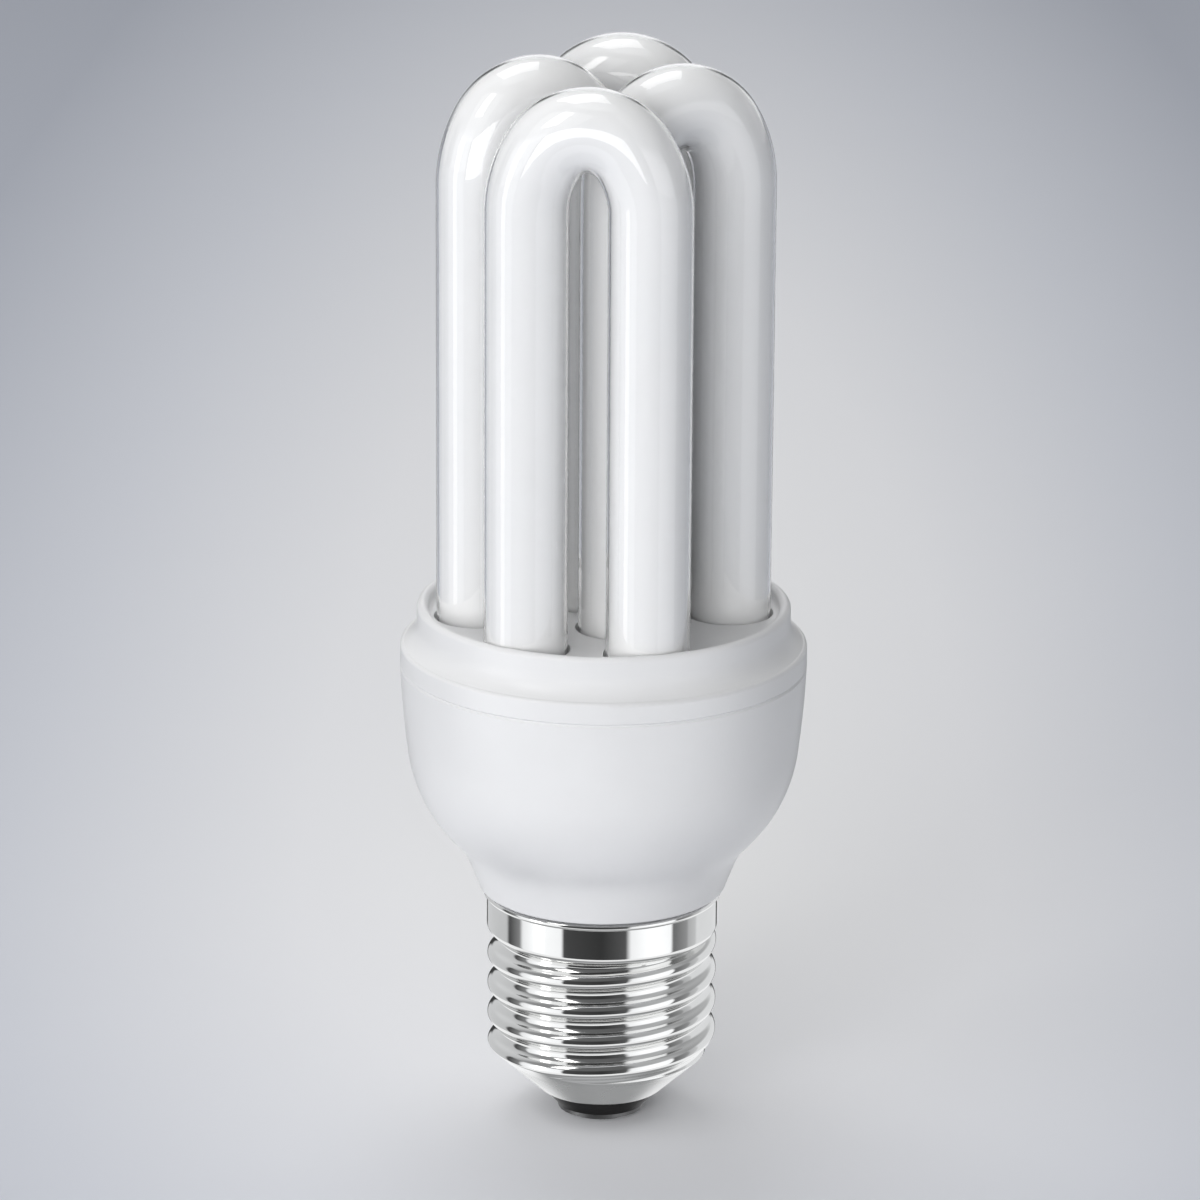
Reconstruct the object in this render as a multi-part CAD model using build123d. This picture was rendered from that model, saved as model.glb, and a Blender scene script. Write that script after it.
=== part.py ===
from build123d import *
from math import atan2, cos, hypot, radians, sin, tan
import os

# A compact fluorescent lamp with four bent discharge tubes and an E27 screw cap.
# Millimetres. The lamp stands on its cap: +Z runs along its axis, and the origin is the
# centre of the centre contact's end face.

# Screw cap, standard E27 sizes
thread_pitch = 3.629
thread_crest_r = 13.15
thread_depth = 1.1
thread_start_z = 6.57
thread_turns = 4.3
thread_land = 0.12
shell_wall = 0.35
cone_mouth_r = 7.3
cone_mouth_z = 3.2
cone_angle = 43.0
band_step = 0.1
band_bottom_z = 23.2
band_height = 3.4
shoulder_slope = 1.5
lip_bulge = 0.35
lip_height = 0.8

# Insulator and centre contact
contact_face_r = 4.1
contact_ledge_r = 4.95
contact_step = 0.5
contact_edge = 0.2
insulator_margin = 0.1
insulator_drop = 0.83
lead_hole_r = 1.2
fit_clearance = 0.05

# Lower housing: the bowl and its neck
housing_wall = 1.5
neck_gap = 0.25
neck_overhang = 0.75
neck_foot_round = 0.45
neck_height = 3.35
neck_flare = 1.3
flare_reach = 1.77
bowl_height = 13.0
bowl_inset = 0.85
bowl_lean = 82.6
side_height = 10.3
plug_length = 3.9
plug_wall = 1.1
seam_chamfer = 0.22
rib_count = 6
rib_width = 1.6
rib_height = 9.0
rib_bearing = 1.9

# Tube holder: the collar with its flange, rim, floor, eight sleeves and skirt
flange_height = 2.6
flange_width = 1.9
flange_round = 0.45
rim_margin = 0.86
rim_wall = 1.25
rim_height = 7.2
rim_root_height = 2.4
floor_drop = 1.5
floor_thickness = 1.7
floor_round = 0.6
hole_clearance = 0.3
sleeve_wall = 0.9
sleeve_depth = 4.2
skirt_wall = 1.3
skirt_clearance = 0.1
skirt_gap = 0.2

# Discharge tubes
tube_r = 4.7
leg_gap = 0.6
shoulder_angle = 32.0
tube_top_z = 123.9
leg_depth = 7.5
leg_end_round = 3.4
bridge_r = 1.9
bridge_rise = 4.6
seal_size = (6.4, 2.0)
seal_length = 2.6
cement_length = 3.0

# Plan of the tubes: front and left, and half a turn on for rear and right. Lengths are in leg
# pitches, of a tube and the gap beside it, so that thicker tubes still clear each other.
spread_pitches = 0.685
bend_pitches = 0.93
front_pitches = 1.4
front_swing = 7.8
front_turn = -7.7
side_pitches = 0.823
side_swing = 14.1
side_turn = 25.0
half_turn = 180.0

# Circuit board
board_thickness = 1.6
board_drop = 2.3
board_clearance = 0.4
stand_off = 1.2
pin_r = 0.3

# Reservoir capacitor, which stands down into the neck
capacitor_r = 5.0
capacitor_height = 16.0
capacitor_x = 6.0
capacitor_pin_gap = 5.0
crimp_depth = 0.35
crimp_height = 1.2

# Choke: a ferrite core, its bobbin and its winding
choke_x = -7.3
choke_width = 12.6
choke_height = 10.6
core_thickness = 5.2
outer_limb = 2.4
centre_limb = 3.2
bobbin_wall = 0.5
bobbin_flange = 0.8
bobbin_clearance = 0.1
bobbin_gap = 0.2
winding_inset = 0.3

# Drive transformer
toroid_r = 4.3
toroid_hole_r = 2.1
toroid_height = 3.2
toroid_inset = 0.9
turn_count = 9
tail_every = 3
turn_wire = 0.5

# The rest of the ring round the board: sizes are across, deep, tall
ring_r = 13.3
transistor_size = (4.6, 3.4, 5.0)
transistor_pin_gap = 1.27
diode_r = 1.3
diode_length = 4.8
start_capacitor_size = (7.6, 3.4, 7.2)
coupling_capacitor_size = (9.0, 3.4, 7.6)
film_pin_gap = 5.0
edge_round = 0.5
resistor_r = 1.4
resistor_length = 5.6
axial_lead_length = 1.4

# Leads
live_wire_r = 0.6
neutral_wire_r = 0.4
neutral_wire_clearance = 0.2
neutral_wire_angle = 30.0
neutral_tail_drop = 1.0
filament_wire_r = 0.3
filament_wire_gap = 3.0

# Angles round the board, in degrees
transistor_angles = (-10.0, 14.0)
start_capacitor_angle = 53.0
diode_angles = (80.0, 93.0, 106.0, 119.0)
coupling_capacitor_angle = 238.0
toroid_angle = 280.0
resistor_angle = 321.0

# Levels and radii that follow from the sizes above
leg_pitch = 2 * tube_r + leg_gap
leg_spread = spread_pitches * leg_pitch
bend_height = bend_pitches * leg_pitch
front_offset = front_pitches * leg_pitch
side_offset = side_pitches * leg_pitch
rim_r = hypot(front_offset, leg_spread) + tube_r + rim_margin
housing_top_r = rim_r + flange_width
thread_root_r = thread_crest_r - thread_depth
band_r = thread_crest_r + band_step
cone_rise = tan(radians(cone_angle))
cone_top_z = cone_mouth_z + (thread_root_r - cone_mouth_r) * cone_rise
shoulder_z = band_bottom_z - (band_r - thread_root_r) * shoulder_slope
band_top_z = band_bottom_z + band_height
cap_top_z = band_top_z + lip_height
contact_top_z = 2 * contact_step
insulator_top_z = cone_top_z - insulator_drop
neck_foot_z = cap_top_z + neck_gap
neck_foot_r = band_r + neck_overhang
neck_top = (neck_foot_r + neck_flare, neck_foot_z + neck_height)
bowl_shoulder = (housing_top_r - bowl_inset, neck_top[1] + bowl_height)
housing_top_z = bowl_shoulder[1] + side_height
plug_r = band_r - shell_wall - fit_clearance
plug_foot_z = neck_foot_z - plug_length
flange_top_z = housing_top_z + flange_height
rim_top_z = housing_top_z + rim_height
floor_z = rim_top_z - floor_drop
floor_under_z = floor_z - floor_thickness
sleeve_foot_z = floor_under_z - sleeve_depth
hole_r = tube_r + hole_clearance
leg_end_z = floor_z - leg_depth
seal_foot_z = leg_end_z - seal_length
bend_z = tube_top_z - tube_r - bend_height
bridge_z = floor_z + bridge_rise
board_top_z = seal_foot_z - board_drop
board_z = board_top_z - board_thickness
skirt_foot_z = board_top_z + skirt_gap
part_top_z = board_z - stand_off
shell_bore_r = thread_root_r - shell_wall
toroid_ring_r = ring_r - toroid_inset
choke_window = (choke_width - centre_limb) / 2 - outer_limb
bobbin_reach = choke_window - bobbin_gap

upward = (Align.CENTER, Align.CENTER, Align.MIN)


def drawn(*edges):
    """A closed face in the XZ plane, from its edges."""
    return Plane.XZ * make_face(Curve() + list(edges))


def turned(*edges):
    """A solid of revolution about the lamp's axis, from edges drawn as (radius, height)."""
    return revolve(drawn(*edges), Axis.Z)


def turned_corners(*corners):
    """The same from corner points alone."""
    return turned(*Polyline(*corners, close=True).edges())


def rod(radius, low, high, at=(0.0, 0.0)):
    """An upright round rod between two levels."""
    return Pos(at[0], at[1], low) * Cylinder(radius, high - low, align=upward)


def block(across, deep, low, high):
    """An upright block between two levels, centred on the axis."""
    return Pos(0, 0, low) * Box(across, deep, high - low, align=upward)


def polar(radius, angle):
    """The point at this radius and angle in the plan."""
    return (radius * cos(radians(angle)), radius * sin(radians(angle)))


def on_ring(angle, radius=ring_r):
    """A place on the board's ring. Its X runs round the ring, and its Y runs inwards."""
    return Rot(0, 0, angle) * Pos(radius, 0, 0) * Rot(0, 0, 90)


def solids_of(shapes):
    """One group of separate solids."""
    return Compound(children=[solid for shape in shapes for solid in shape.solids()])


# Screw cap: the shell with its rolled thread, plain band, rolled lip and cone
def thread_ridge():
    """The rolled thread: a round crest with hollow flanks, swept along its helix."""
    half = thread_pitch / 2
    depth = thread_crest_r - thread_root_r
    arc_r = (half**2 + depth**2) / (4 * depth)
    middle_r = thread_root_r + depth / 2
    foot_z = half - thread_land
    foot_r = thread_root_r + arc_r - (arc_r**2 - thread_land**2) ** 0.5
    inner_r = thread_root_r - shell_wall / 2
    crest = ThreePointArc((middle_r, -half / 2), (thread_crest_r, 0), (middle_r, half / 2))
    upper_flank = TangentArc((middle_r, half / 2), (foot_r, foot_z), tangent=crest % 1)
    lower_flank = TangentArc((middle_r, -half / 2), (foot_r, -foot_z), tangent=-(crest % 0))
    back = Polyline((foot_r, foot_z), (inner_r, foot_z), (inner_r, -foot_z), (foot_r, -foot_z))
    helix = Helix(thread_pitch, thread_pitch * thread_turns, thread_root_r)
    ridge = sweep(drawn(crest, upper_flank, lower_flank, *back.edges()), helix, is_frenet=True)
    return Pos(0, 0, thread_start_z) * ridge


def thread_limit():
    """The space that the thread may fill: above the cone carried on, and below the band's top."""
    reach = thread_crest_r + 1
    return turned_corners(
        (0, cone_mouth_z),
        (cone_mouth_r, cone_mouth_z),
        (reach, cone_mouth_z + (reach - cone_mouth_r) * cone_rise),
        (reach, band_bottom_z),
        (0, band_bottom_z),
    )


def screw_cap():
    middle = ((thread_root_r + band_r) / 2, (shoulder_z + band_bottom_z) / 2)
    outer = turned(
        *Polyline(
            (0, cap_top_z),
            (0, cone_mouth_z),
            (cone_mouth_r, cone_mouth_z),
            (thread_root_r, cone_top_z),
            (thread_root_r, shoulder_z),
        ).edges(),
        TangentArc((thread_root_r, shoulder_z), middle, tangent=(0, 1)),
        TangentArc((band_r, band_bottom_z), middle, tangent=(0, -1)),
        Line((band_r, band_bottom_z), (band_r, band_top_z)),
        ThreePointArc(
            (band_r, band_top_z),
            (band_r + lip_bulge, band_top_z + lip_height / 2),
            (band_r, cap_top_z),
        ),
        Line((band_r, cap_top_z), (0, cap_top_z)),
    )
    hollow = turned_corners(
        (0, cone_mouth_z - 1),
        (cone_mouth_r - shell_wall, cone_mouth_z - 1),
        (cone_mouth_r - shell_wall, cone_mouth_z),
        (shell_bore_r, cone_top_z),
        (shell_bore_r, shoulder_z),
        (band_r - shell_wall, band_bottom_z),
        (band_r - shell_wall, cap_top_z + 1),
        (0, cap_top_z + 1),
    )
    return outer + (thread_ridge() & thread_limit()) - hollow


def cap_insulator():
    """Black glass, moulded into the shell's cone, with a hole for the live lead."""
    mouth_r = cone_mouth_r - shell_wall - fit_clearance
    return turned_corners(
        (lead_hole_r, contact_top_z),
        (contact_ledge_r + insulator_margin, contact_top_z),
        (mouth_r, cone_mouth_z),
        (mouth_r + (insulator_top_z - cone_mouth_z) / cone_rise, insulator_top_z),
        (lead_hole_r, insulator_top_z),
    )


def centre_contact():
    face = rod(contact_face_r, 0, contact_step)
    ledge = rod(contact_ledge_r, contact_step, contact_top_z)
    lower_edge = face.edges().filter_by(GeomType.CIRCLE).sort_by(Axis.Z)[0]
    return fillet(lower_edge, contact_edge) + ledge


# Lower housing
def heading(start, end):
    """The direction from one point to another, in radians."""
    return atan2(end[1] - start[1], end[0] - start[0])


def bowl_points():
    """The bowl's side, as points with their headings: the neck's line, its flare, the bowl and its side.

    Two arcs join the neck to the bowl's shoulder. The first one's end tangents are flare_reach
    long, and the second one's length follows from that.
    """
    foot = Vector(neck_foot_r, neck_foot_z)
    neck = Vector(*neck_top)
    shoulder = Vector(*bowl_shoulder)
    top = (housing_top_r, housing_top_z)
    neck_heading = heading((neck_foot_r, neck_foot_z), neck_top)
    shoulder_heading = radians(bowl_lean)
    leaving = Vector(cos(neck_heading), sin(neck_heading))
    arriving = Vector(cos(shoulder_heading), sin(shoulder_heading))
    across = shoulder - neck
    second_reach = (across.dot(across) / 2 - flare_reach * across.dot(leaving)) / (
        across.dot(arriving) - flare_reach * (1 - leaving.dot(arriving))
    )
    share = flare_reach / (flare_reach + second_reach)
    meeting = (neck + leaving * flare_reach) * (1 - share) + (shoulder - arriving * second_reach) * share
    flare = (meeting.X, meeting.Y)
    flare_heading = 2 * heading(neck_top, flare) - neck_heading
    top_heading = 2 * heading(bowl_shoulder, top) - shoulder_heading
    return [
        ((foot.X, foot.Y), neck_heading),
        (neck_top, neck_heading),
        (flare, flare_heading),
        (bowl_shoulder, shoulder_heading),
        (top, top_heading),
    ]


def bowl_side(inset):
    """The bowl's side from its foot to its top: a line and tangent arcs, moved inwards by the inset."""
    points = bowl_points()
    moved = [(r - inset * sin(turn), z + inset * cos(turn)) for (r, z), turn in points]
    edges = [Line(moved[0], moved[1])]
    for index in range(1, len(moved) - 1):
        turn = points[index][1]
        edges.append(TangentArc(moved[index], moved[index + 1], tangent=(cos(turn), sin(turn))))
    return edges, moved[0], moved[-1]


def bowl_radius(height, inset):
    """The radius of the bowl's side at this height, moved inwards by the inset."""
    edges = [edge for edge in bowl_side(inset)[0] if (edge @ 0).Y <= height]
    edge = edges[-1]
    low, high = 0.0, 1.0
    for _ in range(30):
        middle = (low + high) / 2
        if (edge @ middle).Y < height:
            low = middle
        else:
            high = middle
    return (edge @ low).X


board_r = bowl_radius(board_z, housing_wall) - board_clearance
skirt_r = bowl_radius(skirt_foot_z, housing_wall) - skirt_clearance


def bowl_solid(inset, carry_on=0.0):
    """The bowl filled, with its top carried straight on upwards by this much."""
    side, foot, top = bowl_side(inset)
    high_z = top[1] + carry_on
    corners = [top, (0, high_z), (0, foot[1]), foot]
    if carry_on:
        corners.insert(1, (top[0], high_z))
    return turned(*side, *Polyline(*corners).edges())


def lower_housing():
    outer = bowl_solid(0)
    circles = outer.edges().filter_by(GeomType.CIRCLE).sort_by(Axis.Z)
    outer = fillet(circles[0], neck_foot_round)
    top_rim = outer.edges().filter_by(GeomType.CIRCLE).sort_by(Axis.Z)[-1]
    outer = chamfer(top_rim, seam_chamfer)
    hollow = bowl_solid(housing_wall, carry_on=1)
    plug = rod(plug_r, plug_foot_z, neck_foot_z + housing_wall)
    bore = rod(plug_r - plug_wall, plug_foot_z - 1, neck_foot_z + 2 * housing_wall)
    ribs = []
    rib_inner_r = board_r - rib_bearing
    for index in range(rib_count):
        rib = Pos((rib_inner_r + housing_top_r) / 2, 0, 0) * block(
            housing_top_r - rib_inner_r, rib_width, board_z - rib_height, board_z
        )
        ribs.append(Rot(0, 0, 360 * (index + 0.5) / rib_count) * rib)
    shell = outer + plug - hollow - bore
    inside = bowl_solid(housing_wall / 2)
    return shell + [rib & inside for rib in ribs]


# Discharge tubes
def tube_places():
    """Each tube's place in the plan, with its turn about Z."""
    front = (-front_offset * sin(radians(front_swing)), -front_offset * cos(radians(front_swing)))
    left = (-side_offset * cos(radians(side_swing)), side_offset * sin(radians(side_swing)))
    return {
        "front": (front, front_turn),
        "left": (left, side_turn),
        "rear": ((-front[0], -front[1]), front_turn + half_turn),
        "right": ((-left[0], -left[1]), side_turn + half_turn),
    }


places = tube_places()


def leg_place(tube, side):
    """The plan place of a tube's first (-1) or second (+1) leg."""
    (x, y), turn = places[tube]
    dx, dy = polar(leg_spread, turn)
    return (x + side * dx, y + side * dy)


legs = [(tube, side) for tube in places for side in (-1, 1)]

# The discharge runs front, right, rear, left. These legs are joined, and the two left over are its ends.
bridges = ((("front", 1), ("right", 1)), (("right", -1), ("rear", -1)), (("rear", 1), ("left", 1)))
end_legs = (("front", -1), ("left", -1))


def bend_path():
    """The tube's centre line: straight legs, two shoulder arcs and a tighter top arc, all tangent."""
    lean = radians(shoulder_angle)
    difference = (bend_height - leg_spread) / (sin(lean) + cos(lean) - 1)
    shoulder_r = leg_spread + difference * cos(lean)
    top_r = shoulder_r - difference
    top_z = bend_z + difference * sin(lean)
    offset = leg_spread - shoulder_r
    turn = half_turn - 2 * shoulder_angle
    return Plane.XZ * (
        Line((leg_spread, leg_end_z), (leg_spread, bend_z))
        + CenterArc((offset, bend_z), shoulder_r, 0, shoulder_angle)
        + CenterArc((0, top_z), top_r, shoulder_angle, turn)
        + CenterArc((-offset, bend_z), shoulder_r, half_turn - shoulder_angle, shoulder_angle)
        + Line((-leg_spread, bend_z), (-leg_spread, leg_end_z))
    )


def half_bridge(leg, neighbour):
    """The stub that a leg blows out towards its neighbour, ending half way between the two."""
    x0, y0 = leg_place(*leg)
    x1, y1 = leg_place(*neighbour)
    distance = hypot(x1 - x0, y1 - y0)
    stub = Cylinder(bridge_r, distance / 2, align=upward)
    direction = Vector(x1 - x0, y1 - y0, 0)
    return Plane(origin=(x0, y0, bridge_z), z_dir=direction) * stub


def seal(leg):
    """The flat press seal under an end leg."""
    x, y = leg_place(*leg)
    turn = places[leg[0]][1]
    body = block(seal_size[0], seal_size[1], seal_foot_z, leg_end_z + leg_end_round / 2)
    return Pos(x, y, 0) * Rot(0, 0, turn) * body


def discharge_tube(name):
    (x, y), turn = places[name]
    path = bend_path()
    start = Plane(origin=(leg_spread, 0, leg_end_z), z_dir=(0, 0, 1))
    tube = sweep(start * Circle(tube_r), path)
    ends = tube.edges().filter_by(GeomType.CIRCLE).group_by(Axis.Z)[0]
    tube = Pos(x, y, 0) * Rot(0, 0, turn) * fillet(ends, leg_end_round)
    for pair in bridges:
        for leg, neighbour in (pair, pair[::-1]):
            if leg[0] == name:
                tube += half_bridge(leg, neighbour)
    for leg in end_legs:
        if leg[0] == name:
            tube += seal(leg)
    return tube


def tube_cement():
    """A ring of cement round each leg at its sleeve's foot."""
    rings = []
    for leg in legs:
        at = leg_place(*leg)
        ring = rod(hole_r, sleeve_foot_z, sleeve_foot_z + cement_length, at)
        rings.append(ring - rod(tube_r, sleeve_foot_z - 1, sleeve_foot_z + cement_length + 1, at))
    return solids_of(rings)


# Tube holder
def tube_holder():
    crest_z = rim_top_z - rim_wall / 2
    inner_r = rim_r - rim_wall
    skirt_inner_r = skirt_r - skirt_wall
    rim_root = (rim_r, flange_top_z + rim_root_height)
    flange_corner = (housing_top_r - flange_round, flange_top_z)
    collar = turned(
        *Polyline(
            (0, floor_under_z),
            (skirt_inner_r, floor_under_z),
            (skirt_inner_r, skirt_foot_z),
            (skirt_r, skirt_foot_z),
            (skirt_r, housing_top_z),
            (housing_top_r - seam_chamfer, housing_top_z),
            (housing_top_r, housing_top_z + seam_chamfer),
            (housing_top_r, flange_top_z - flange_round),
        ).edges(),
        TangentArc((housing_top_r, flange_top_z - flange_round), flange_corner, tangent=(0, 1)),
        TangentArc(rim_root, flange_corner, tangent=(0, -1)),
        Line(rim_root, (rim_r, crest_z)),
        ThreePointArc((rim_r, crest_z), (rim_r - rim_wall / 2, rim_top_z), (inner_r, crest_z)),
        Line((inner_r, crest_z), (inner_r, floor_z + floor_round)),
        TangentArc((inner_r, floor_z + floor_round), (inner_r - floor_round, floor_z), tangent=(0, -1)),
        Line((inner_r - floor_round, floor_z), (0, floor_z)),
        Line((0, floor_z), (0, floor_under_z)),
    )
    places_of_legs = [leg_place(*leg) for leg in legs]
    within = rod(skirt_r, sleeve_foot_z, floor_z)
    sleeves = [rod(hole_r + sleeve_wall, sleeve_foot_z, floor_z, at) & within for at in places_of_legs]
    holes = [rod(hole_r, skirt_foot_z - 1, rim_top_z + 1, at) for at in places_of_legs]
    return collar + sleeves - holes


# Circuit board and what it carries
def circuit_board():
    return rod(board_r, board_z, board_top_z)


def pins(places_in_plan, low, radius=pin_r):
    """Straight leads from a part up to the board."""
    return [rod(radius, low, board_z, at) for at in places_in_plan]


def reservoir_capacitor():
    """A can with a crimped groove near its leads."""
    foot = part_top_z - capacitor_height
    can = fillet(rod(capacitor_r, foot, part_top_z).edges().filter_by(GeomType.CIRCLE), edge_round)
    groove_z = part_top_z - 2 * crimp_height
    groove = rod(capacitor_r + 1, groove_z, groove_z + crimp_height)
    groove -= rod(capacitor_r - crimp_depth, groove_z, groove_z + crimp_height)
    half_gap = capacitor_pin_gap / 2
    body = can - groove + pins([(0, half_gap), (0, -half_gap)], part_top_z)
    return Pos(capacitor_x, 0, 0) * body


def choke_core():
    foot = part_top_z - choke_height
    core = block(core_thickness, choke_width, foot, part_top_z)
    for side in (-1, 1):
        middle = side * (centre_limb + choke_window) / 2
        opening = block(core_thickness + 1, choke_window, foot + outer_limb, part_top_z - outer_limb)
        core -= Pos(0, middle, 0) * opening
    return Pos(choke_x, 0, 0) * core


def bobbin_tube(wall):
    """Across and deep for a layer this far out from the centre limb."""
    return (core_thickness + 2 * wall, centre_limb + 2 * wall)


def choke_bobbin():
    low = part_top_z - choke_height + outer_limb + bobbin_clearance
    high = part_top_z - outer_limb - bobbin_clearance
    inner = bobbin_tube(bobbin_clearance)
    tube = bobbin_tube(bobbin_clearance + bobbin_wall)
    flange = bobbin_tube(bobbin_reach)
    body = block(*tube, low, high)
    body += block(*flange, low, low + bobbin_flange)
    body += block(*flange, high - bobbin_flange, high)
    body -= block(*inner, low - 1, high + 1)
    pin_x = flange[0] / 2 - 2 * pin_r
    pin_y = flange[1] / 2 - 2 * pin_r
    corners = [(sx * pin_x, sy * pin_y) for sx in (-1, 1) for sy in (-1, 1)]
    return Pos(choke_x, 0, 0) * (body + pins(corners, high - bobbin_flange / 2))


def choke_winding():
    low = part_top_z - choke_height + outer_limb + bobbin_clearance + bobbin_flange
    high = part_top_z - outer_limb - bobbin_clearance - bobbin_flange
    outer = block(*bobbin_tube(bobbin_reach - winding_inset), low, high)
    outer = fillet(outer.edges().filter_by(Axis.Z), edge_round)
    inner = block(*bobbin_tube(bobbin_clearance + bobbin_wall), low - 1, high + 1)
    return Pos(choke_x, 0, 0) * (outer - inner)


def transformer_core():
    ring = rod(toroid_r, part_top_z - toroid_height, part_top_z)
    ring -= rod(toroid_hole_r, part_top_z - toroid_height - 1, part_top_z + 1)
    return on_ring(toroid_angle, toroid_ring_r) * ring


def transformer_winding():
    """Turns of wire round the toroid. Every third one runs on up to the board."""
    width = toroid_r - toroid_hole_r + 2 * fit_clearance
    middle = (toroid_r + toroid_hole_r) / 2
    low = part_top_z - toroid_height
    loop = block(width + 2 * turn_wire, turn_wire, low - turn_wire, part_top_z + turn_wire)
    loop -= block(width, 2 * turn_wire, low, part_top_z)
    turns = []
    for index in range(turn_count):
        angle = 360 * index / turn_count
        turn = Rot(0, 0, angle) * Pos(middle, 0, 0) * loop
        if index % tail_every == 0:
            turn += rod(turn_wire / 2, part_top_z + turn_wire / 2, board_z, polar(middle, angle))
        turns.append(turn)
    return solids_of([on_ring(toroid_angle, toroid_ring_r) * turn for turn in turns])


def transistor():
    """A small moulded body with one flat face and three leads."""
    across, deep, tall = transistor_size
    low = part_top_z - tall
    body = rod(across / 2, low, part_top_z)
    body &= Pos(0, (deep - across) / 2, 0) * block(across, deep, low, part_top_z)
    leads = pins([(step * transistor_pin_gap, 0) for step in (-1, 0, 1)], part_top_z)
    return body + leads


def transistors():
    return solids_of([on_ring(angle) * transistor() for angle in transistor_angles])


def axial_part(radius, length):
    """A round body lying under the board, with a lead at each end bent up to it."""
    middle_z = board_z - stand_off / 2 - radius
    body = Pos(0, 0, middle_z) * Rot(0, 90, 0) * Cylinder(radius, length)
    body = fillet(body.edges().filter_by(GeomType.CIRCLE), edge_round)
    reach = length / 2 + axial_lead_length
    bar = Pos(0, 0, middle_z) * Rot(0, 90, 0) * Cylinder(pin_r, 2 * reach)
    return body + bar + pins([(-reach + pin_r, 0), (reach - pin_r, 0)], middle_z)


def rectifier_diodes():
    turned_diode = Rot(0, 0, 90) * axial_part(diode_r, diode_length)
    return solids_of([on_ring(angle) * turned_diode for angle in diode_angles])


def fusible_resistor():
    return on_ring(resistor_angle) * axial_part(resistor_r, resistor_length)


def film_capacitor(size, angle):
    """A dipped block with rounded edges and two leads."""
    across, deep, tall = size
    body = block(across, deep, part_top_z - tall, part_top_z)
    body = fillet(body.edges().filter_by(Axis.Z), edge_round)
    half_gap = film_pin_gap / 2
    return on_ring(angle) * (body + pins([(-half_gap, 0), (half_gap, 0)], part_top_z))


# Leads
def live_lead():
    return rod(live_wire_r, contact_top_z, board_z)


def neutral_lead():
    """Down the neck's side, and out to the shell's wall below the neck."""
    radius = min(plug_r - plug_wall, shell_bore_r) - neutral_wire_r - neutral_wire_clearance
    tail_z = shoulder_z - neutral_tail_drop
    drop = rod(neutral_wire_r, tail_z, board_z, (radius, 0))
    tail_length = shell_bore_r - radius
    tail = Pos(radius + tail_length / 2, 0, tail_z) * Rot(0, 90, 0) * Cylinder(neutral_wire_r, tail_length)
    knee = Pos(radius, 0, tail_z) * Sphere(neutral_wire_r)
    return Rot(0, 0, neutral_wire_angle) * (drop + knee + tail)


def filament_leads():
    """Two wires from each press seal to the board."""
    wires = []
    for leg in end_legs:
        x, y = leg_place(*leg)
        turn = places[leg[0]][1]
        for side in (-1, 1):
            dx, dy = polar(side * filament_wire_gap / 2, turn)
            wires.append(rod(filament_wire_r, board_top_z, seal_foot_z, (x + dx, y + dy)))
    return solids_of(wires)


nodes = {
    "tube_front": discharge_tube("front"),
    "tube_right": discharge_tube("right"),
    "tube_rear": discharge_tube("rear"),
    "tube_left": discharge_tube("left"),
    "tube_cement": tube_cement(),
    "tube_holder": tube_holder(),
    "lower_housing": lower_housing(),
    "screw_cap": screw_cap(),
    "cap_insulator": cap_insulator(),
    "centre_contact": centre_contact(),
    "circuit_board": circuit_board(),
    "reservoir_capacitor": reservoir_capacitor(),
    "choke_core": choke_core(),
    "choke_bobbin": choke_bobbin(),
    "choke_winding": choke_winding(),
    "transformer_core": transformer_core(),
    "transformer_winding": transformer_winding(),
    "transistors": transistors(),
    "rectifier_diodes": rectifier_diodes(),
    "start_capacitor": film_capacitor(start_capacitor_size, start_capacitor_angle),
    "coupling_capacitor": film_capacitor(coupling_capacitor_size, coupling_capacitor_angle),
    "fusible_resistor": fusible_resistor(),
    "live_lead": live_lead(),
    "neutral_lead": neutral_lead(),
    "filament_leads": filament_leads(),
}

os.makedirs("parts", exist_ok=True)
for name, shape in nodes.items():
    export_step(shape, f"parts/{name}.step")
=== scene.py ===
from math import cos, pi, radians, sin, sqrt, tan

import bpy
from mathutils import Matrix, Vector


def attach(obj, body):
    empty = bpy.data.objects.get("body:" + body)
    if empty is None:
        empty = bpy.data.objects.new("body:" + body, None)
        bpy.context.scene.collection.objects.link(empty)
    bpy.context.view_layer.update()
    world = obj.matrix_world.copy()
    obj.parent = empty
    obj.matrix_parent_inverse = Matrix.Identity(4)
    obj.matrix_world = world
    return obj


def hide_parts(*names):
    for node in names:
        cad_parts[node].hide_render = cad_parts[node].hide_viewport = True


# The looks of a compact fluorescent bulb, round its CAD frame. Lengths are in millimetres here,
# and every mesh is written in metres.
MM = 0.001

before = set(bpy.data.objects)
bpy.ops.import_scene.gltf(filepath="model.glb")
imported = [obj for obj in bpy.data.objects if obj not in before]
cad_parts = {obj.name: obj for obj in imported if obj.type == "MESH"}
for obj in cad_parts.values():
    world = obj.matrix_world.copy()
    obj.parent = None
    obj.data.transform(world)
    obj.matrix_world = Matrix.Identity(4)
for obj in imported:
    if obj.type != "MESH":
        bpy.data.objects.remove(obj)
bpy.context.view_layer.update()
body = "root"

# Screw cap
thread_pitch = 3.629
thread_crest_r = 13.15
thread_depth = 1.1
thread_start_z = 6.57
thread_turns = 4.3
shell_wall = 0.35
cone_mouth_r = 7.3
cone_mouth_z = 3.2
cone_angle = 43.0
band_r = 13.25
band_bottom_z = 23.2
band_top_z = 26.6
band_edge = 0.05
cap_top_z = 27.4
lip_bulge = 0.35
shoulder_slope = 1.5
thread_root_r = thread_crest_r - thread_depth
cone_rise = tan(radians(cone_angle))
cone_top_z = cone_mouth_z + (thread_root_r - cone_mouth_r) * cone_rise
shoulder_z = band_bottom_z - (band_r - thread_root_r) * shoulder_slope

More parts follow.
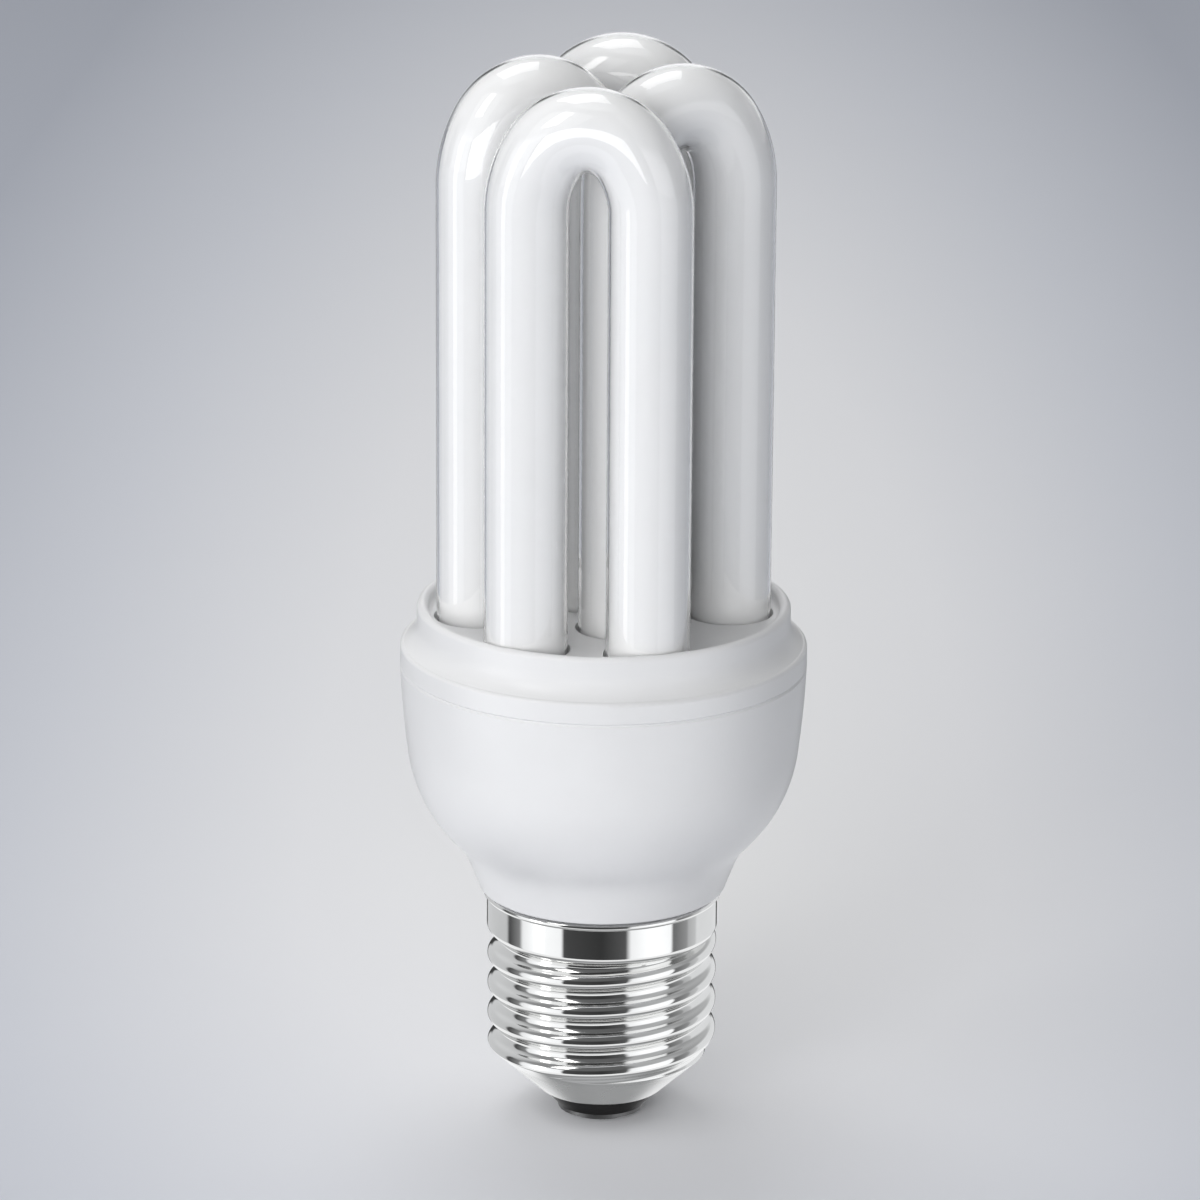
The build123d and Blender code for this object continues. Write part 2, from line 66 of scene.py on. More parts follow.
# How finely the cap is divided, round it and up each stretch of it
cap_columns = 288
cone_levels = 34
thread_levels = 190
lip_levels = 12

# Discharge tubes
tube_r = 4.7
glass_wall = 0.3
coating_gap = 0.02
leg_pitch = 10.0
leg_spread = 0.685 * leg_pitch
bend_height = 0.93 * leg_pitch
shoulder_angle = 32.0
tube_top_z = 123.9
leg_end_z = 52.5
leg_end_round = 3.4
bend_z = tube_top_z - tube_r - bend_height
bridge_r = 1.9
bridge_z = 64.6
bridge_gap = 0.02
seal_size = (6.4, 2.0, 2.6)

# How finely a tube is divided, round it and along each stretch of half of it
ring_count = 112
bridge_sides = 48
end_steps = 10
leg_steps = 8
shoulder_steps = 14
top_steps = 26

# Plan of the tubes, as in the frame: front and left, and half a turn on for rear and right
front_offset = 1.4 * leg_pitch
front_swing = 7.8
front_turn = -7.7
side_offset = 0.823 * leg_pitch
side_swing = 14.1
side_turn = 25.0
front = Vector((-sin(radians(front_swing)), -cos(radians(front_swing)))) * front_offset
left = Vector((-cos(radians(side_swing)), sin(radians(side_swing)))) * side_offset
places = {
    "front": (front, front_turn),
    "left": (left, side_turn),
    "rear": (-front, front_turn + 180),
    "right": (-left, side_turn + 180),
}

# A leg is named by its tube and its side of it. A bridge joins two legs, and the row's two end legs
# have press seals.
bridges =((("front", 1), ("right", 1)), (("right", -1), ("rear", -1)), (("rear", 1), ("left", 1)))
end_legs = (("front", -1), ("left", -1))


# Materials: how far light spreads below a surface that glows, and how far above and below the cone's
# edge its dullness fades
glow_reach = 6.0
dull_edge = 0.8


class Nodes:
    """Short calls for building one node tree."""

    def __init__(self, tree):
        self.tree = tree

    def add(self, kind, values=None, **settings):
        node = self.tree.nodes.new("ShaderNode" + kind)
        for key, value in settings.items():
            setattr(node, key, value)
        for key, value in (values or {}).items():
            if isinstance(value, bpy.types.NodeSocket):
                self.tree.links.new(value, node.inputs[key])
            else:
                node.inputs[key].default_value = value
        return node

    def noise(self, vector, scale, detail=3.0, roughness=0.5):
        values = {"Vector": vector, "Scale": scale, "Detail": detail, "Roughness": roughness}
        return self.add("TexNoise", values).outputs["Fac"]

    def ramp(self, factor, stops):
        """A colour ramp through (place, colour) pairs."""
        node = self.add("ValToRGB", {"Fac": factor})
        elements = node.color_ramp.elements
        elements[0].position = stops[0][0]
        elements[1].position = stops[-1][0]
        for place, _ in stops[1:-1]:
            elements.new(place)
        for element, (_, colour) in zip(elements, stops):
            element.color = (*colour, 1.0)
        return node.outputs["Color"]

    def span(self, value, low, high, to_low, to_high):
        """A value's stretch from low to high, as the stretch from to_low to to_high, with its ends held."""
        values = {"Value": value, "From Min": low, "From Max": high, "To Min": to_low, "To Max": to_high}
        return self.add("MapRange", values).outputs["Result"]

    def math(self, operation, *inputs):
        node = self.add("Math", operation=operation)
        for socket, value in zip(node.inputs, inputs):
            if isinstance(value, bpy.types.NodeSocket):
                self.tree.links.new(value, socket)
            else:
                socket.default_value = value
        return node.outputs[0]

    def blend(self, share, first, second):
        """The first colour, turning into the second as the share goes from 0 to 1."""
        return self.add("Mix", {0: share, 6: first, 7: second}, data_type="RGBA").outputs[2]

    def place(self):
        """The point on the piece, in metres."""
        return self.add("TexCoord").outputs["Object"]

    def bump(self, height, strength, depth):
        values = {"Height": height, "Strength": strength, "Distance": depth * MM}
        return self.add("Bump", values).outputs["Normal"]

    def finish(self, shader, kind="OutputMaterial"):
        out = self.add(kind)
        self.tree.links.new(shader.outputs[0], out.inputs["Surface"])


def new_material(name):
    """A material with an empty node tree, and the calls that fill it."""
    material = bpy.data.materials.new(name)
    material.use_nodes = True
    material.node_tree.nodes.clear()
    return material, Nodes(material.node_tree)


def finish_material(
    name, colours, rough, mottle=90.0, grain=2500.0, bump=0.05, metallic=0.0, coat=0.0, specular=0.5, glow=0.0
):
    """A material with a gentle mottle of its colour and roughness, and a fine bump.

    colours are its two colours, rough its lowest and highest roughness, mottle and grain the scales
    of the mottle and the bump, and glow how much light goes through below the surface.
    """
    material, nodes = new_material(name)
    place = nodes.place()
    patches = nodes.noise(place, mottle)
    fine = nodes.noise(place, grain, 2.0)
    shader = nodes.add(
        "BsdfPrincipled",
        {
            "Base Color": nodes.ramp(patches, [(0.35, colours[0]), (0.65, colours[1])]),
            "Roughness": nodes.span(patches, 0.3, 0.7, *rough),
            "Metallic": metallic,
            "Coat Weight": coat,
            "Coat Roughness": 0.05,
            "Specular IOR Level": specular,
            "Normal": nodes.bump(fine, bump, 0.2),
        },
    )
    if glow > 0.0:
        shader.inputs["Subsurface Weight"].default_value = glow
        shader.inputs["Subsurface Radius"].default_value = [glow_reach * MM] * 3
    nodes.finish(shader)
    return material


def clear_glass():
    """Clear glass, which lets the lamps' light through to the coating behind it."""
    material, nodes = new_material("clear_glass")
    waviness = nodes.noise(nodes.place(), 60.0, 1.0)
    glass = nodes.add(
        "BsdfPrincipled",
        {
            "Base Color": (1.0, 1.0, 1.0, 1.0),
            "Roughness": 0.0,
            "IOR": 1.5,
            "Transmission Weight": 1.0,
            "Normal": nodes.bump(waviness, 0.02, 1.0),
        },
    )
    open_way = nodes.add("BsdfTransparent", {"Color": (1.0, 1.0, 1.0, 1.0)})
    path = nodes.add("LightPath")
    passes = nodes.math("MAXIMUM", path.outputs["Is Shadow Ray"], path.outputs["Is Diffuse Ray"])
    nodes.finish(nodes.add("MixShader", {0: passes, 1: glass.outputs[0], 2: open_way.outputs[0]}))
    return material


def nickel():
    """Bright nickel plate, duller on the cone, with faint marks of the rolling round it."""
    material, nodes = new_material("nickel_plate")
    place = nodes.place()
    height = nodes.add("SeparateXYZ", {"Vector": place}).outputs["Z"]
    stretched = nodes.add("Mapping", {"Vector": place, "Scale": (1.0, 1.0, 40.0)}).outputs["Vector"]
    rolling = nodes.noise(stretched, 60.0)
    mottle = nodes.noise(place, 140.0)
    dull = nodes.span(height, (cone_top_z - dull_edge) * MM, (cone_top_z + dull_edge) * MM, 0.2, 0.0)
    polish = nodes.span(mottle, 0.3, 0.7, 0.045, 0.09)
    shader = nodes.add(
        "BsdfPrincipled",
        {
            "Base Color": nodes.ramp(mottle, [(0.3, (0.80, 0.80, 0.79)), (0.7, (0.86, 0.86, 0.85))]),
            "Metallic": 1.0,
            "Roughness": nodes.math("ADD", dull, polish),
            "Normal": nodes.bump(rolling, 0.012, 0.2),
        },
    )
    nodes.finish(shader)
    return material


def enamelled_wire():
    """Copper wire in neat turns, drawn as fine bands round the coil."""
    material, nodes = new_material("enamelled_wire")
    wave = {"Vector": nodes.place(), "Scale": 500.0, "Distortion": 0.3}
    turns = nodes.add("TexWave", wave, bands_direction="Z").outputs["Fac"]
    shader = nodes.add(
        "BsdfPrincipled",
        {
            "Base Color": nodes.ramp(turns, [(0.2, (0.25, 0.07, 0.02)), (0.7, (0.62, 0.24, 0.08))]),
            "Metallic": 0.6,
            "Roughness": 0.3,
            "Normal": nodes.bump(turns, 0.4, 0.2),
        },
    )
    nodes.finish(shader)
    return material


white_plastic = finish_material(
    "white_plastic", ((0.83, 0.83, 0.834), (0.85, 0.85, 0.854)), (0.32, 0.38), bump=0.06
)
phosphor = finish_material(
    "phosphor_coating", ((0.91, 0.913, 0.915), (0.93, 0.933, 0.935)), (0.45, 0.55), mottle=60.0, glow=0.9
)
black_glass = finish_material(
    "black_glass", ((0.008, 0.008, 0.009), (0.014, 0.013, 0.013)), (0.35, 0.42), bump=0.2, specular=0.06
)
# Painted shade: the centre contact's bright metal is coloured nearly black, for the shadow it sits in.
contact_metal = finish_material(
    "contact_metal", ((0.10, 0.10, 0.10), (0.15, 0.15, 0.15)), (0.3, 0.42), bump=0.2, metallic=1.0
)
cement = finish_material("cement", ((0.62, 0.58, 0.50), (0.72, 0.68, 0.60)), (0.8, 0.95), bump=0.5)
laminate = finish_material(
    "board_laminate", ((0.55, 0.42, 0.20), (0.62, 0.48, 0.25)), (0.45, 0.6), grain=900.0
)
sleeve = finish_material("capacitor_sleeve", ((0.02, 0.02, 0.025), (0.035, 0.035, 0.04)), (0.25, 0.35))
ferrite = finish_material("ferrite", ((0.05, 0.05, 0.05), (0.09, 0.085, 0.08)), (0.5, 0.7), bump=0.4)
bobbin = finish_material("bobbin_plastic", ((0.75, 0.73, 0.66), (0.80, 0.78, 0.72)), (0.4, 0.5))
moulding = finish_material("black_moulding", ((0.02, 0.02, 0.02), (0.035, 0.035, 0.035)), (0.45, 0.6))
film_coat = finish_material("film_coating", ((0.35, 0.10, 0.03), (0.45, 0.14, 0.05)), (0.2, 0.35), coat=0.4)
resistor_body = finish_material("resistor_coating", ((0.20, 0.38, 0.42), (0.26, 0.44, 0.48)), (0.4, 0.55))
insulation = finish_material("wire_insulation", ((0.70, 0.70, 0.68), (0.76, 0.76, 0.74)), (0.4, 0.5))
plated = finish_material("plated_wire", ((0.66, 0.66, 0.64), (0.76, 0.76, 0.74)), (0.15, 0.3), metallic=1.0)
bright_nickel = nickel()
wall_glass = clear_glass()
copper = enamelled_wire()

kept_nodes = {
    "tube_cement": cement,
    "tube_holder": white_plastic,
    "lower_housing": white_plastic,
    "cap_insulator": black_glass,
    "centre_contact": contact_metal,
    "circuit_board": laminate,
    "reservoir_capacitor": sleeve,
    "choke_core": ferrite,
    "choke_bobbin": bobbin,
    "choke_winding": copper,
    "transformer_core": ferrite,
    "transformer_winding": copper,
    "transistors": moulding,
    "rectifier_diodes": moulding,
    "start_capacitor": film_coat,
    "coupling_capacitor": film_coat,
    "fusible_resistor": resistor_body,
    "live_lead": insulation,
    "neutral_lead": insulation,
    "filament_leads": plated,
}
for name, material in kept_nodes.items():
    for material_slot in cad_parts[name].material_slots:
        material_slot.material = material


# Meshes and objects
def add_object(name, data):
    thing = bpy.data.objects.new(name, data)
    bpy.context.scene.collection.objects.link(thing)
    return thing


def make_mesh(name, points, faces):
    mesh = bpy.data.meshes.new(name)
    mesh.from_pydata([tuple(c * MM for c in point) for point in points], [], faces)
    mesh.validate()
    return mesh


def make_piece(name, mesh, material, sharp_angle=35.0):
    """A piece on the bulb's body, smooth but for edges past the sharp angle."""
    piece = add_object(name, mesh)
    mesh.materials.clear()
    mesh.materials.append(material)
    mesh.shade_smooth()
    mesh.set_sharp_from_angle(angle=radians(sharp_angle))
    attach(piece, body)
    return piece


def grid_faces(rows, columns):
    """Faces between closed rings of points, ring after ring."""
    faces = []
    for row in range(rows - 1):
        for column in range(columns):
            beside = (column + 1) % columns
            a = row * columns + column
            b = row * columns + beside
            faces.append((a, b, b + columns, a + columns))
    return faces


def between(low, high, count):
    """Evenly spaced values, both ends included."""
    return [low + (high - low) * i / count for i in range(count + 1)]


def set_at(centre, turn, x, y):
    """A plan point, turned by an angle in degrees and moved to a centre."""
    c, s = cos(radians(turn)), sin(radians(turn))
    return centre[0] + x * c - y * s, centre[1] + x * s + y * c


# Discharge tubes: a tight arc at each shoulder, and a flatter one over the top
lean = radians(shoulder_angle)
arc_difference = (bend_height - leg_spread) / (sin(lean) + cos(lean) - 1)
shoulder_arc_r = leg_spread + arc_difference * cos(lean)
top_arc_r = shoulder_arc_r - arc_difference
top_arc_z = bend_z + arc_difference * sin(lean)


def half_path(inset):
    """One leg from its foot to the arch's top: each step's centre, lean and radius."""
    steps = []
    end_round = leg_end_round - inset
    radius = tube_r - inset
    foot = leg_end_z + inset
    for t in between(pi / 2, 0.0, end_steps):
        steps.append((leg_spread, foot + end_round * (1 - sin(t)), 0.0, radius - end_round * (1 - cos(t))))
    for z in between(foot + end_round, bend_z, leg_steps)[1:]:
        steps.append((leg_spread, z, 0.0, radius))
    centre = leg_spread - shoulder_arc_r
    for a in between(0.0, lean, shoulder_steps)[1:]:
        steps.append((centre + shoulder_arc_r * cos(a), bend_z + shoulder_arc_r * sin(a), a, radius))
    for a in between(lean, pi / 2, top_steps)[1:]:
        steps.append((top_arc_r * cos(a), top_arc_z + top_arc_r * sin(a), a, radius))
    return steps


def tube_surface(name, tube, inset):
    """The bent tube's surface, moved inwards by the inset, with closed rounded ends."""
    right_half = half_path(inset)
    left_half = [(-x, z, pi - a, radius) for x, z, a, radius in right_half[-2::-1]]
    points = []
    for x, z, a, radius in right_half + left_half:
        for i in range(ring_count):
            b = 2 * pi * i / ring_count
            out = radius * cos(b)
            points.append((x + out * cos(a), radius * sin(b), z + out * sin(a)))
    rows = len(right_half) + len(left_half)
    faces = grid_faces(rows, ring_count)
    faces.append(tuple(range(ring_count))[::-1])
    faces.append(tuple(range((rows - 1) * ring_count, rows * ring_count)))
    centre, turn = places[tube]
    placed = [(*set_at(centre, turn, x, y), z) for x, y, z in points]
    return make_mesh(name, placed, faces)


def leg_place(leg):
    """Where a leg's axis stands in plan."""
    tube, side = leg
    centre, turn = places[tube]
    return Vector(set_at(centre, turn, side * leg_spread, 0.0))


def stub_mesh(name, leg, neighbour, inset):
    """Half a bridge, from a leg's axis to the middle between two legs."""
    start = leg_place(leg)
    across = leg_place(neighbour) - start
    length = across.length / 2 - bridge_gap / 2 - inset
    along = across.normalized()
    side = Vector((-along.y, along.x))
    points = []
    for reach in (0.0, length):
        for i in range(bridge_sides):
            b = 2 * pi * i / bridge_sides
            foot = start + along * reach + side * (bridge_r - inset) * cos(b)
            points.append((foot.x, foot.y, bridge_z + (bridge_r - inset) * sin(b)))
    faces = grid_faces(2, bridge_sides)
    faces.append(tuple(range(bridge_sides))[::-1])
    faces.append(tuple(range(bridge_sides, 2 * bridge_sides)))
    return make_mesh(name, points, faces)


def seal_mesh(name, leg):
    """The flat press seal under an end leg."""
    place = leg_place(leg)
    turn = places[leg[0]][1]
    low = leg_end_z - seal_size[2]
    high = leg_end_z + leg_end_round / 2
    points = []
    for z in (low, high):
        for sx, sy in ((-1, -1), (1, -1), (1, 1), (-1, 1)):
            points.append((*set_at(place, turn, sx * seal_size[0] / 2, sy * seal_size[1] / 2), z))
    faces = [(3, 2, 1, 0), (4, 5, 6, 7), (0, 1, 5, 4), (1, 2, 6, 5), (2, 3, 7, 6), (3, 0, 4, 7)]
    return make_mesh(name, points, faces)


def united(base, extras):
    """One mesh from a closed mesh and others that run into it."""
    whole = add_object("united", base)
    tools = []
    for extra in extras:
        tool = add_object("extra", extra)
        tools.append(tool)
        union = whole.modifiers.new("union", "BOOLEAN")
        union.operation = "UNION"
        union.solver = "EXACT"
        union.object = tool
    graph = bpy.context.evaluated_depsgraph_get()
    mesh = bpy.data.meshes.new_from_object(whole.evaluated_get(graph))
    for thing in [whole] + tools:
        bpy.data.objects.remove(thing)
    return mesh


def tube_shape(tube, inset, with_seals):
    """The whole closed surface of one tube at this inset, with its bridge stubs and seals."""
    extras = []
    for pair in bridges:
        for leg, neighbour in (pair, pair[::-1]):
            if leg[0] == tube:
                extras.append(stub_mesh("stub", leg, neighbour, inset))
    if with_seals:
        extras += [seal_mesh("seal", leg) for leg in end_legs if leg[0] == tube]
    return united(tube_surface("tube", tube, inset), extras)


def hollow_wall(name, outer, inner):
    """A closed wall from its outer and inner surfaces."""
    points = [tuple(v.co / MM) for v in outer.vertices] + [tuple(v.co / MM) for v in inner.vertices]
    shift = len(outer.vertices)
    faces = [tuple(p.vertices) for p in outer.polygons]
    faces += [tuple(v + shift for v in p.vertices)[::-1] for p in inner.polygons]
    return make_mesh(name, points, faces)


for tube in places:
    node = "tube_" + tube
    wall = hollow_wall(node + "_glass", tube_shape(tube, 0.0, True), tube_shape(tube, glass_wall, False))
    glass_piece = make_piece(node + "_glass", wall, wall_glass)
    coat = tube_shape(tube, glass_wall + coating_gap, False)
    make_piece(node + "_coating", coat, phosphor)
    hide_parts(node)


# Screw cap
def base_radius(z):
    """The shell's outer radius at this height, without its thread."""
    if z < cone_top_z:
        return cone_mouth_r + (z - cone_mouth_z) / cone_rise
    if z < shoulder_z:
        return thread_root_r
    if z < band_bottom_z:
        rise = band_bottom_z - shoulder_z
        gain = band_r - thread_root_r
        arc_r = (gain**2 + rise**2) / (4 * gain)
        up = z - shoulder_z
        if up < rise / 2:
            return thread_root_r + arc_r - sqrt(arc_r**2 - up**2)
        return band_r - arc_r + sqrt(arc_r**2 - (rise - up) ** 2)
    if z < band_top_z:
        return band_r
    half = (cap_top_z - band_top_z) / 2
    bead_r = (half**2 + lip_bulge**2) / (2 * lip_bulge)
    middle = band_top_z + half
    return band_r + lip_bulge - bead_r + sqrt(max(bead_r**2 - (z - middle) ** 2, 0.0))


def thread_height(turned, z):
    """How far the thread stands out of the root, at an angle in turns and a height."""
    half = thread_pitch / 2
    arc_r = (half**2 + thread_depth**2) / (4 * thread_depth)
    best = 0.0
    for whole in range(-1, int(thread_turns) + 1):
        along = turned + whole
        if not 0.0 <= along <= thread_turns:
            continue
        away = abs(z - thread_start_z - thread_pitch * along)
        if away >= half:
            continue
        if away < half / 2:
            stands = thread_depth - arc_r + sqrt(arc_r**2 - away**2)
        else:
            stands = arc_r - sqrt(arc_r**2 - (half - away) ** 2)
        best = max(best, stands)
    return best


def cap_radius(turned, z):
    """The shell's outer radius at an angle in turns and a height."""
    base = base_radius(z)
    if not cone_mouth_z < z < band_bottom_z:
        return base
    crest = thread_root_r + thread_height(turned, z)
    cone_limit = cone_mouth_r + (z - cone_mouth_z) / cone_rise
    return max(base, min(crest, cone_limit))


def screw_cap_mesh():
    """The pressed shell, as rings up its outside and then down its smooth inside."""
    heights = between(cone_mouth_z, cone_top_z, cone_levels)[:-1]
    heights += between(cone_top_z, band_bottom_z, thread_levels)[:-1]
    heights += [band_bottom_z, band_bottom_z + band_edge, band_top_z - band_edge]
    heights += between(band_top_z, cap_top_z, lip_levels)
    rings = [[cap_radius(i / cap_columns, z) for i in range(cap_columns)] for z in heights]
    inside = [
        (band_r - shell_wall, cap_top_z),
        (band_r - shell_wall, band_bottom_z),
        (thread_root_r - shell_wall, shoulder_z),
        (thread_root_r - shell_wall, cone_top_z),
        (cone_mouth_r - shell_wall, cone_mouth_z),
    ]
    for radius, z in inside:
        rings.append([radius] * cap_columns)
        heights.append(z)
    points = []
    for radii, z in zip(rings, heights):
        for i, radius in enumerate(radii):
            angle = 2 * pi * i / cap_columns
            points.append((radius * cos(angle), radius * sin(angle), z))
    faces = grid_faces(len(rings), cap_columns)
    bottom = (len(rings) - 1) * cap_columns
    for i in range(cap_columns):
        beside = (i + 1) % cap_columns
        faces.append((bottom + i, bottom + beside, beside, i))
    return make_mesh("screw_cap_shell", points, faces)


cap_piece = make_piece("screw_cap_shell", screw_cap_mesh(), bright_nickel, 50.0)
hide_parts("screw_cap")


# Camera
picture_px = 1200
pixels_per_mm = 8.85
camera_distance = 700.0
camera_elevation = 17.5
camera_roll = 0.35
sensor_mm = 36.0
aim = Vector((-0.44, 0.0, 61.6))

camera_data = bpy.data.cameras.new("camera")
camera_data.sensor_width = sensor_mm
camera_data.lens = pixels_per_mm * camera_distance / picture_px * sensor_mm
camera_data.clip_start = 0.01
camera_data.clip_end = 50.0
camera = add_object("camera", camera_data)
elevation = radians(camera_elevation)
back = Vector((0.0, -cos(elevation), sin(elevation)))
camera.location = (aim + back * camera_distance) * MM
facing = (-back).to_track_quat("-Z", "Y").to_matrix()
roll = Matrix.Rotation(radians(camera_roll), 3, "Z")
camera.rotation_mode = "QUATERNION"
camera.rotation_quaternion = (facing @ roll).to_quaternion()
bpy.context.scene.camera = camera


# Floor: a painted pool of light, white behind the bulb, and how far it reaches to the sides, behind and
# before it
floor_reach = 4000.0
painted_light_pool_centre = (6.0, 85.0)
painted_light_pool_beside = 128.0
painted_light_pool_behind = 920.0
painted_light_pool_before = 260.0
painted_light_pool_mottle = 0.006
painted_light_floor_colours = [
    (0.0, (1.0, 1.0, 1.0)),
    (0.35, (0.90, 0.905, 0.93)),
    (0.65, (0.71, 0.73, 0.785)),
    (1.0, (0.51, 0.535, 0.60)),
]


def floor_with_painted_light_pool():
    """A pale sweep with a painted pool of light: brightest in the pool, and darker and bluer away from there
    as painted falloff.
    """
    material, nodes = new_material("floor")
    place = nodes.place()
    spot = nodes.add("SeparateXYZ", {"Vector": place})
    across = nodes.math("SUBTRACT", spot.outputs["X"], painted_light_pool_centre[0] * MM)
    depth = nodes.math("SUBTRACT", spot.outputs["Y"], painted_light_pool_centre[1] * MM)
    nearer = nodes.math("MULTIPLY", depth, -1.0)
    sideways = nodes.math("DIVIDE", across, painted_light_pool_beside * MM)
    behind = nodes.math("DIVIDE", nodes.math("MAXIMUM", depth, 0.0), painted_light_pool_behind * MM)
    before = nodes.math("DIVIDE", nodes.math("MAXIMUM", nearer, 0.0), painted_light_pool_before * MM)
    squares = [nodes.math("MULTIPLY", value, value) for value in (sideways, behind, before)]
    total = nodes.math("ADD", nodes.math("ADD", squares[0], squares[1]), squares[2])
    away = nodes.math("SQRT", total)
    faint = nodes.span(nodes.noise(place, 40.0, 2.0), 0.0, 1.0, -painted_light_pool_mottle, painted_light_pool_mottle)
    # Painted light: the floor's colour goes from white in the pool to darker and bluer away from it.
    colour = nodes.ramp(nodes.math("ADD", away, faint), painted_light_floor_colours)
    nodes.finish(nodes.add("BsdfDiffuse", {"Color": colour, "Roughness": 0.3}))
    return material


floor_corners = [(x * floor_reach, y * floor_reach, 0.0) for x, y in ((-1, -1), (1, -1), (1, 1), (-1, 1))]
floor_mesh = make_mesh("floor", floor_corners, [(0, 1, 2, 3)])
floor_mesh.materials.append(floor_with_painted_light_pool())
floor = add_object("floor", floor_mesh)
floor.visible_glossy = False


# World: soft panels for reflections, a soft sky for all other light, and a pale wall for the camera.
# An angle round the bulb is in degrees, 0 in front and positive to the right. A height goes from -1,
# straight below, to 1, straight above. A panel's level is its brightness, where 1 is white, and the
# windows' and bands' colours are shares of the full level.
full_level = 6.25
panel_tint = (1.0, 1.0125, 1.03125)
low_panels = (
    (-180, 1.0),
    (-172, 1.0),
    (-169, 0.05),
    (-163, 0.05),
    (-160, 0.66),
    (-110, 0.60),
    (-106, 0.06),
    (-90, 0.25),
    (-86, 0.95),
    (-70, 1.25),
    (-41, 1.10),
    (-38, 0.07),
    (0, 0.04),
    (24, 0.10),
    (29, 1.05),
    (50, 1.30),
    (73, 1.15),
    (76, 0.16),
    (94, 0.32),
    (97, 0.50),
    (107, 0.60),
    (110, 0.80),
    (158, 0.8),
    (161, 0.05),
    (168, 0.05),
    (171, 1.0),
    (180, 1.0),
)
high_panels = (
    (-180, 0.8),
    (-110, 0.6),
    (-88, 0.3),
    (-70, 0.3),
    (-40, 0.25),
    (-26, 0.14),
    (24, 0.12),
    (36, 0.45),
    (70, 0.5),
    (100, 0.35),
    (146, 0.5),
    (168, 0.8),
    (180, 0.8),
)
low_to_high = (0.25, 0.42)

# A strip and a softbox at the left: their angles, heights and colours, and the widths of their edges
windows = (
    ((-70, -60), (-0.33, 0.30), (0.58, 0.58, 0.58, 1.0)),
    ((-58, -40), (0.54, 0.84), (0.64, 0.64, 0.635, 1.0)),
)
side_edge = 0.004
level_edge = 0.02

# The roof, and three bands of ground further and further down: where each sets in, and its colour
bands = (
    ((0.93, 0.96), (0.12, 0.122, 0.125, 1.0)),
    ((-0.42, -0.47), (0.16, 0.161, 0.163, 1.0)),
    ((-0.70, -0.78), (0.05, 0.051, 0.052, 1.0)),
    ((-0.90, -0.97), (0.075, 0.076, 0.078, 1.0)),
)

sky_tint = (0.98, 0.99, 1.0, 1.0)
sky_left = 0.64
sky_right = 0.10
sky_top = 0.30
pale_wall = (0.36, 0.385, 0.44, 1.0)


def round_panels(nodes, share, panels):
    """The studio's brightness round the bulb, from (angle, level) pairs."""
    stops = []
    for angle, level in panels:
        stops.append(((angle + 180) / 360, tuple(level / full_level * tint for tint in panel_tint)))
    return nodes.ramp(share, stops)


def window(nodes, share, height, turns, heights):
    """1 inside a soft-edged window of the studio's wall, and 0 outside it."""
    black, white = (0, 0, 0), (1, 1, 1)
    low, high = [(turn + 180) / 360 for turn in turns]
    stops = [(low - side_edge, black), (low, white), (high, white), (high + side_edge, black)]
    around = nodes.ramp(share, stops)
    lower = nodes.span(height, heights[0] - level_edge, heights[0], 0.0, 1.0)
    upper = nodes.span(height, heights[1], heights[1] + level_edge, 1.0, 0.0)
    return nodes.math("MULTIPLY", nodes.math("MULTIPLY", around, lower), upper)


def studio_panels(nodes, share, height):
    """What metal and glass reflect."""
    low = round_panels(nodes, share, low_panels)
    high = round_panels(nodes, share, high_panels)
    colour = nodes.blend(nodes.span(height, *low_to_high, 0.0, 1.0), low, high)
    for turns, heights, lit in windows:
        colour = nodes.blend(window(nodes, share, height, turns, heights), colour, lit)
    for sets_in, lit in bands:
        colour = nodes.blend(nodes.span(height, *sets_in, 0.0, 1.0), colour, lit)
    return colour


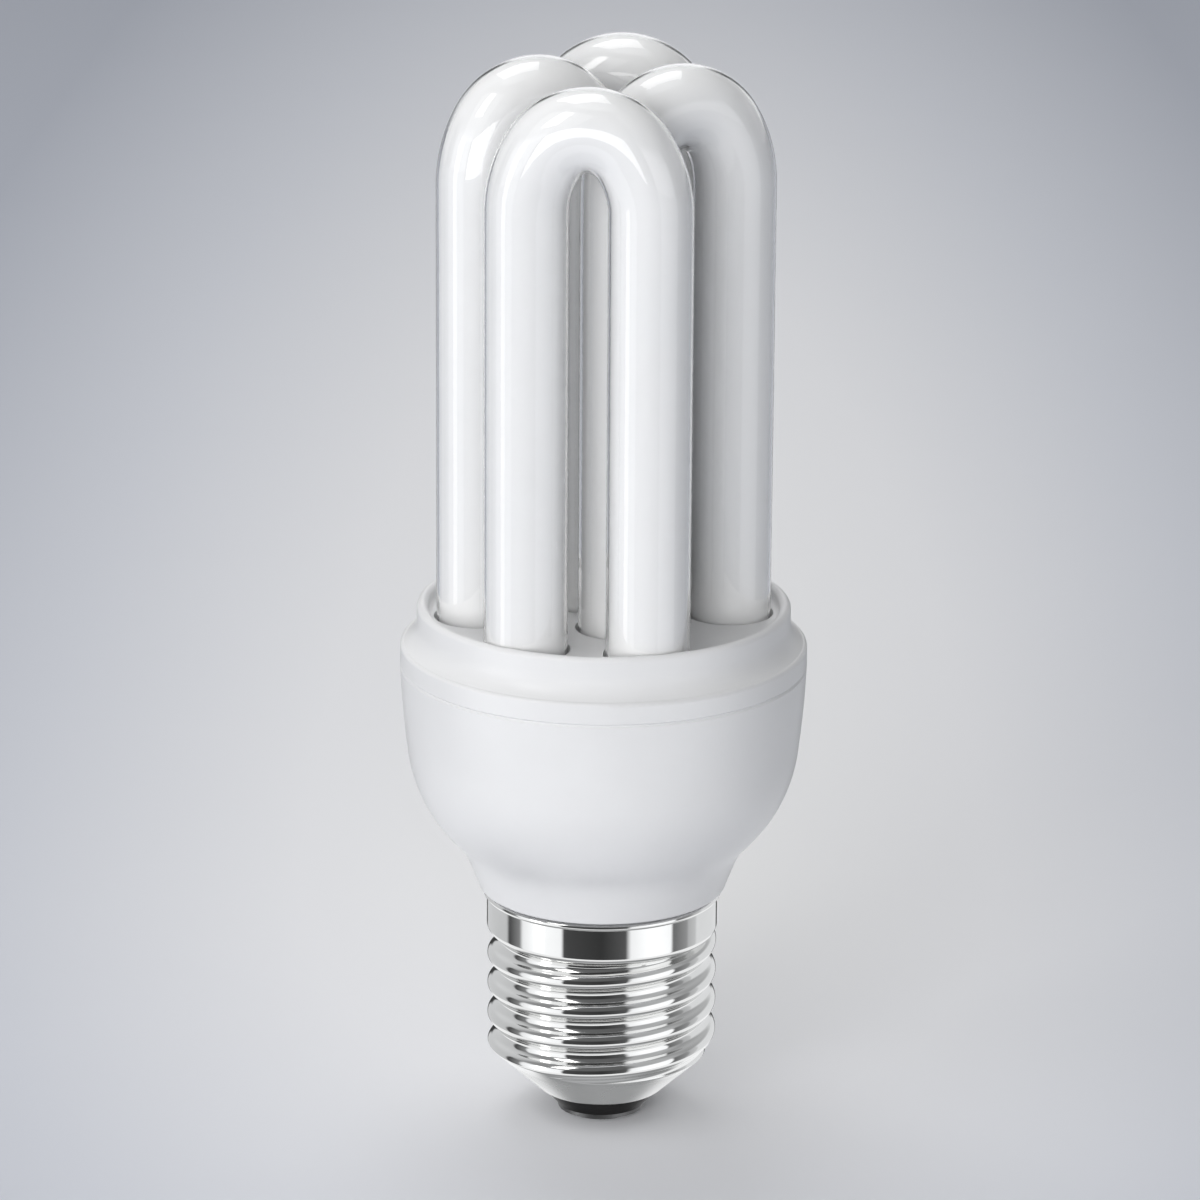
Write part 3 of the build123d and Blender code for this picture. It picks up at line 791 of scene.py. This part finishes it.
def studio_world():
    """Panels for glossy and transmission rays, the pale wall for camera rays, and the sky for the rest."""
    world = bpy.data.worlds.new("studio")
    world.use_nodes = True
    world.node_tree.nodes.clear()
    nodes = Nodes(world.node_tree)
    direction = nodes.add("SeparateXYZ", {"Vector": nodes.add("TexCoord").outputs["Generated"]})
    forward = nodes.math("MULTIPLY", direction.outputs["Y"], -1.0)
    azimuth = nodes.math("ARCTAN2", direction.outputs["X"], forward)
    share = nodes.span(azimuth, -pi, pi, 0.0, 1.0)
    height = direction.outputs["Z"]
    panels = nodes.add("Background", {"Color": studio_panels(nodes, share, height), "Strength": full_level})
    horizon = nodes.span(direction.outputs["X"], -1.0, 1.0, sky_left, sky_right)
    sky_level = nodes.span(height, 0.0, 1.0, horizon, sky_top)
    sky = nodes.add("Background", {"Color": sky_tint, "Strength": sky_level})
    pale = nodes.add("Background", {"Color": pale_wall, "Strength": 1.0})
    path = nodes.add("LightPath")
    mirrored = nodes.math("MAXIMUM", path.outputs["Is Glossy Ray"], path.outputs["Is Transmission Ray"])
    lit = nodes.add("MixShader", {0: mirrored, 1: sky.outputs[0], 2: panels.outputs[0]})
    mix = nodes.add("MixShader", {0: path.outputs["Is Camera Ray"], 1: lit.outputs[0], 2: pale.outputs[0]})
    nodes.finish(mix, "OutputWorld")
    bpy.context.scene.world = world
    bpy.context.scene.view_settings.view_transform = "Standard"


studio_world()


# Lamps
bulb_middle = Vector((0.0, 0.0, 60.0))


def soft_lamp(name, azimuth, elevation, distance, size, radiance, tint):
    """A soft panel that faces the bulb's middle. Radiance 1 is as bright as white."""
    width, height = size
    data = bpy.data.lights.new(name, "AREA")
    data.shape = "RECTANGLE"
    data.size = width * MM
    data.size_y = height * MM
    data.energy = radiance * pi * width * height * MM * MM
    data.color = tint
    lamp = add_object(name, data)
    a, e = radians(azimuth), radians(elevation)
    away = Vector((sin(a) * cos(e), -cos(a) * cos(e), sin(e)))
    lamp.location = (bulb_middle + away * distance) * MM
    lamp.rotation_mode = "QUATERNION"
    lamp.rotation_quaternion = (-away).to_track_quat("-Z", "Y")
    lamp.visible_camera = False
    lamp.visible_glossy = False


soft_lamp("key", -48, 40, distance=900, size=(800, 700), radiance=0.85, tint=(1.0, 0.997, 0.99))
soft_lamp("front", -15, 8, distance=1000, size=(800, 450), radiance=5.1, tint=(1.0, 0.998, 0.995))
soft_lamp("top", -165, 68, distance=900, size=(500, 500), radiance=3.2, tint=(1.0, 1.0, 1.0))
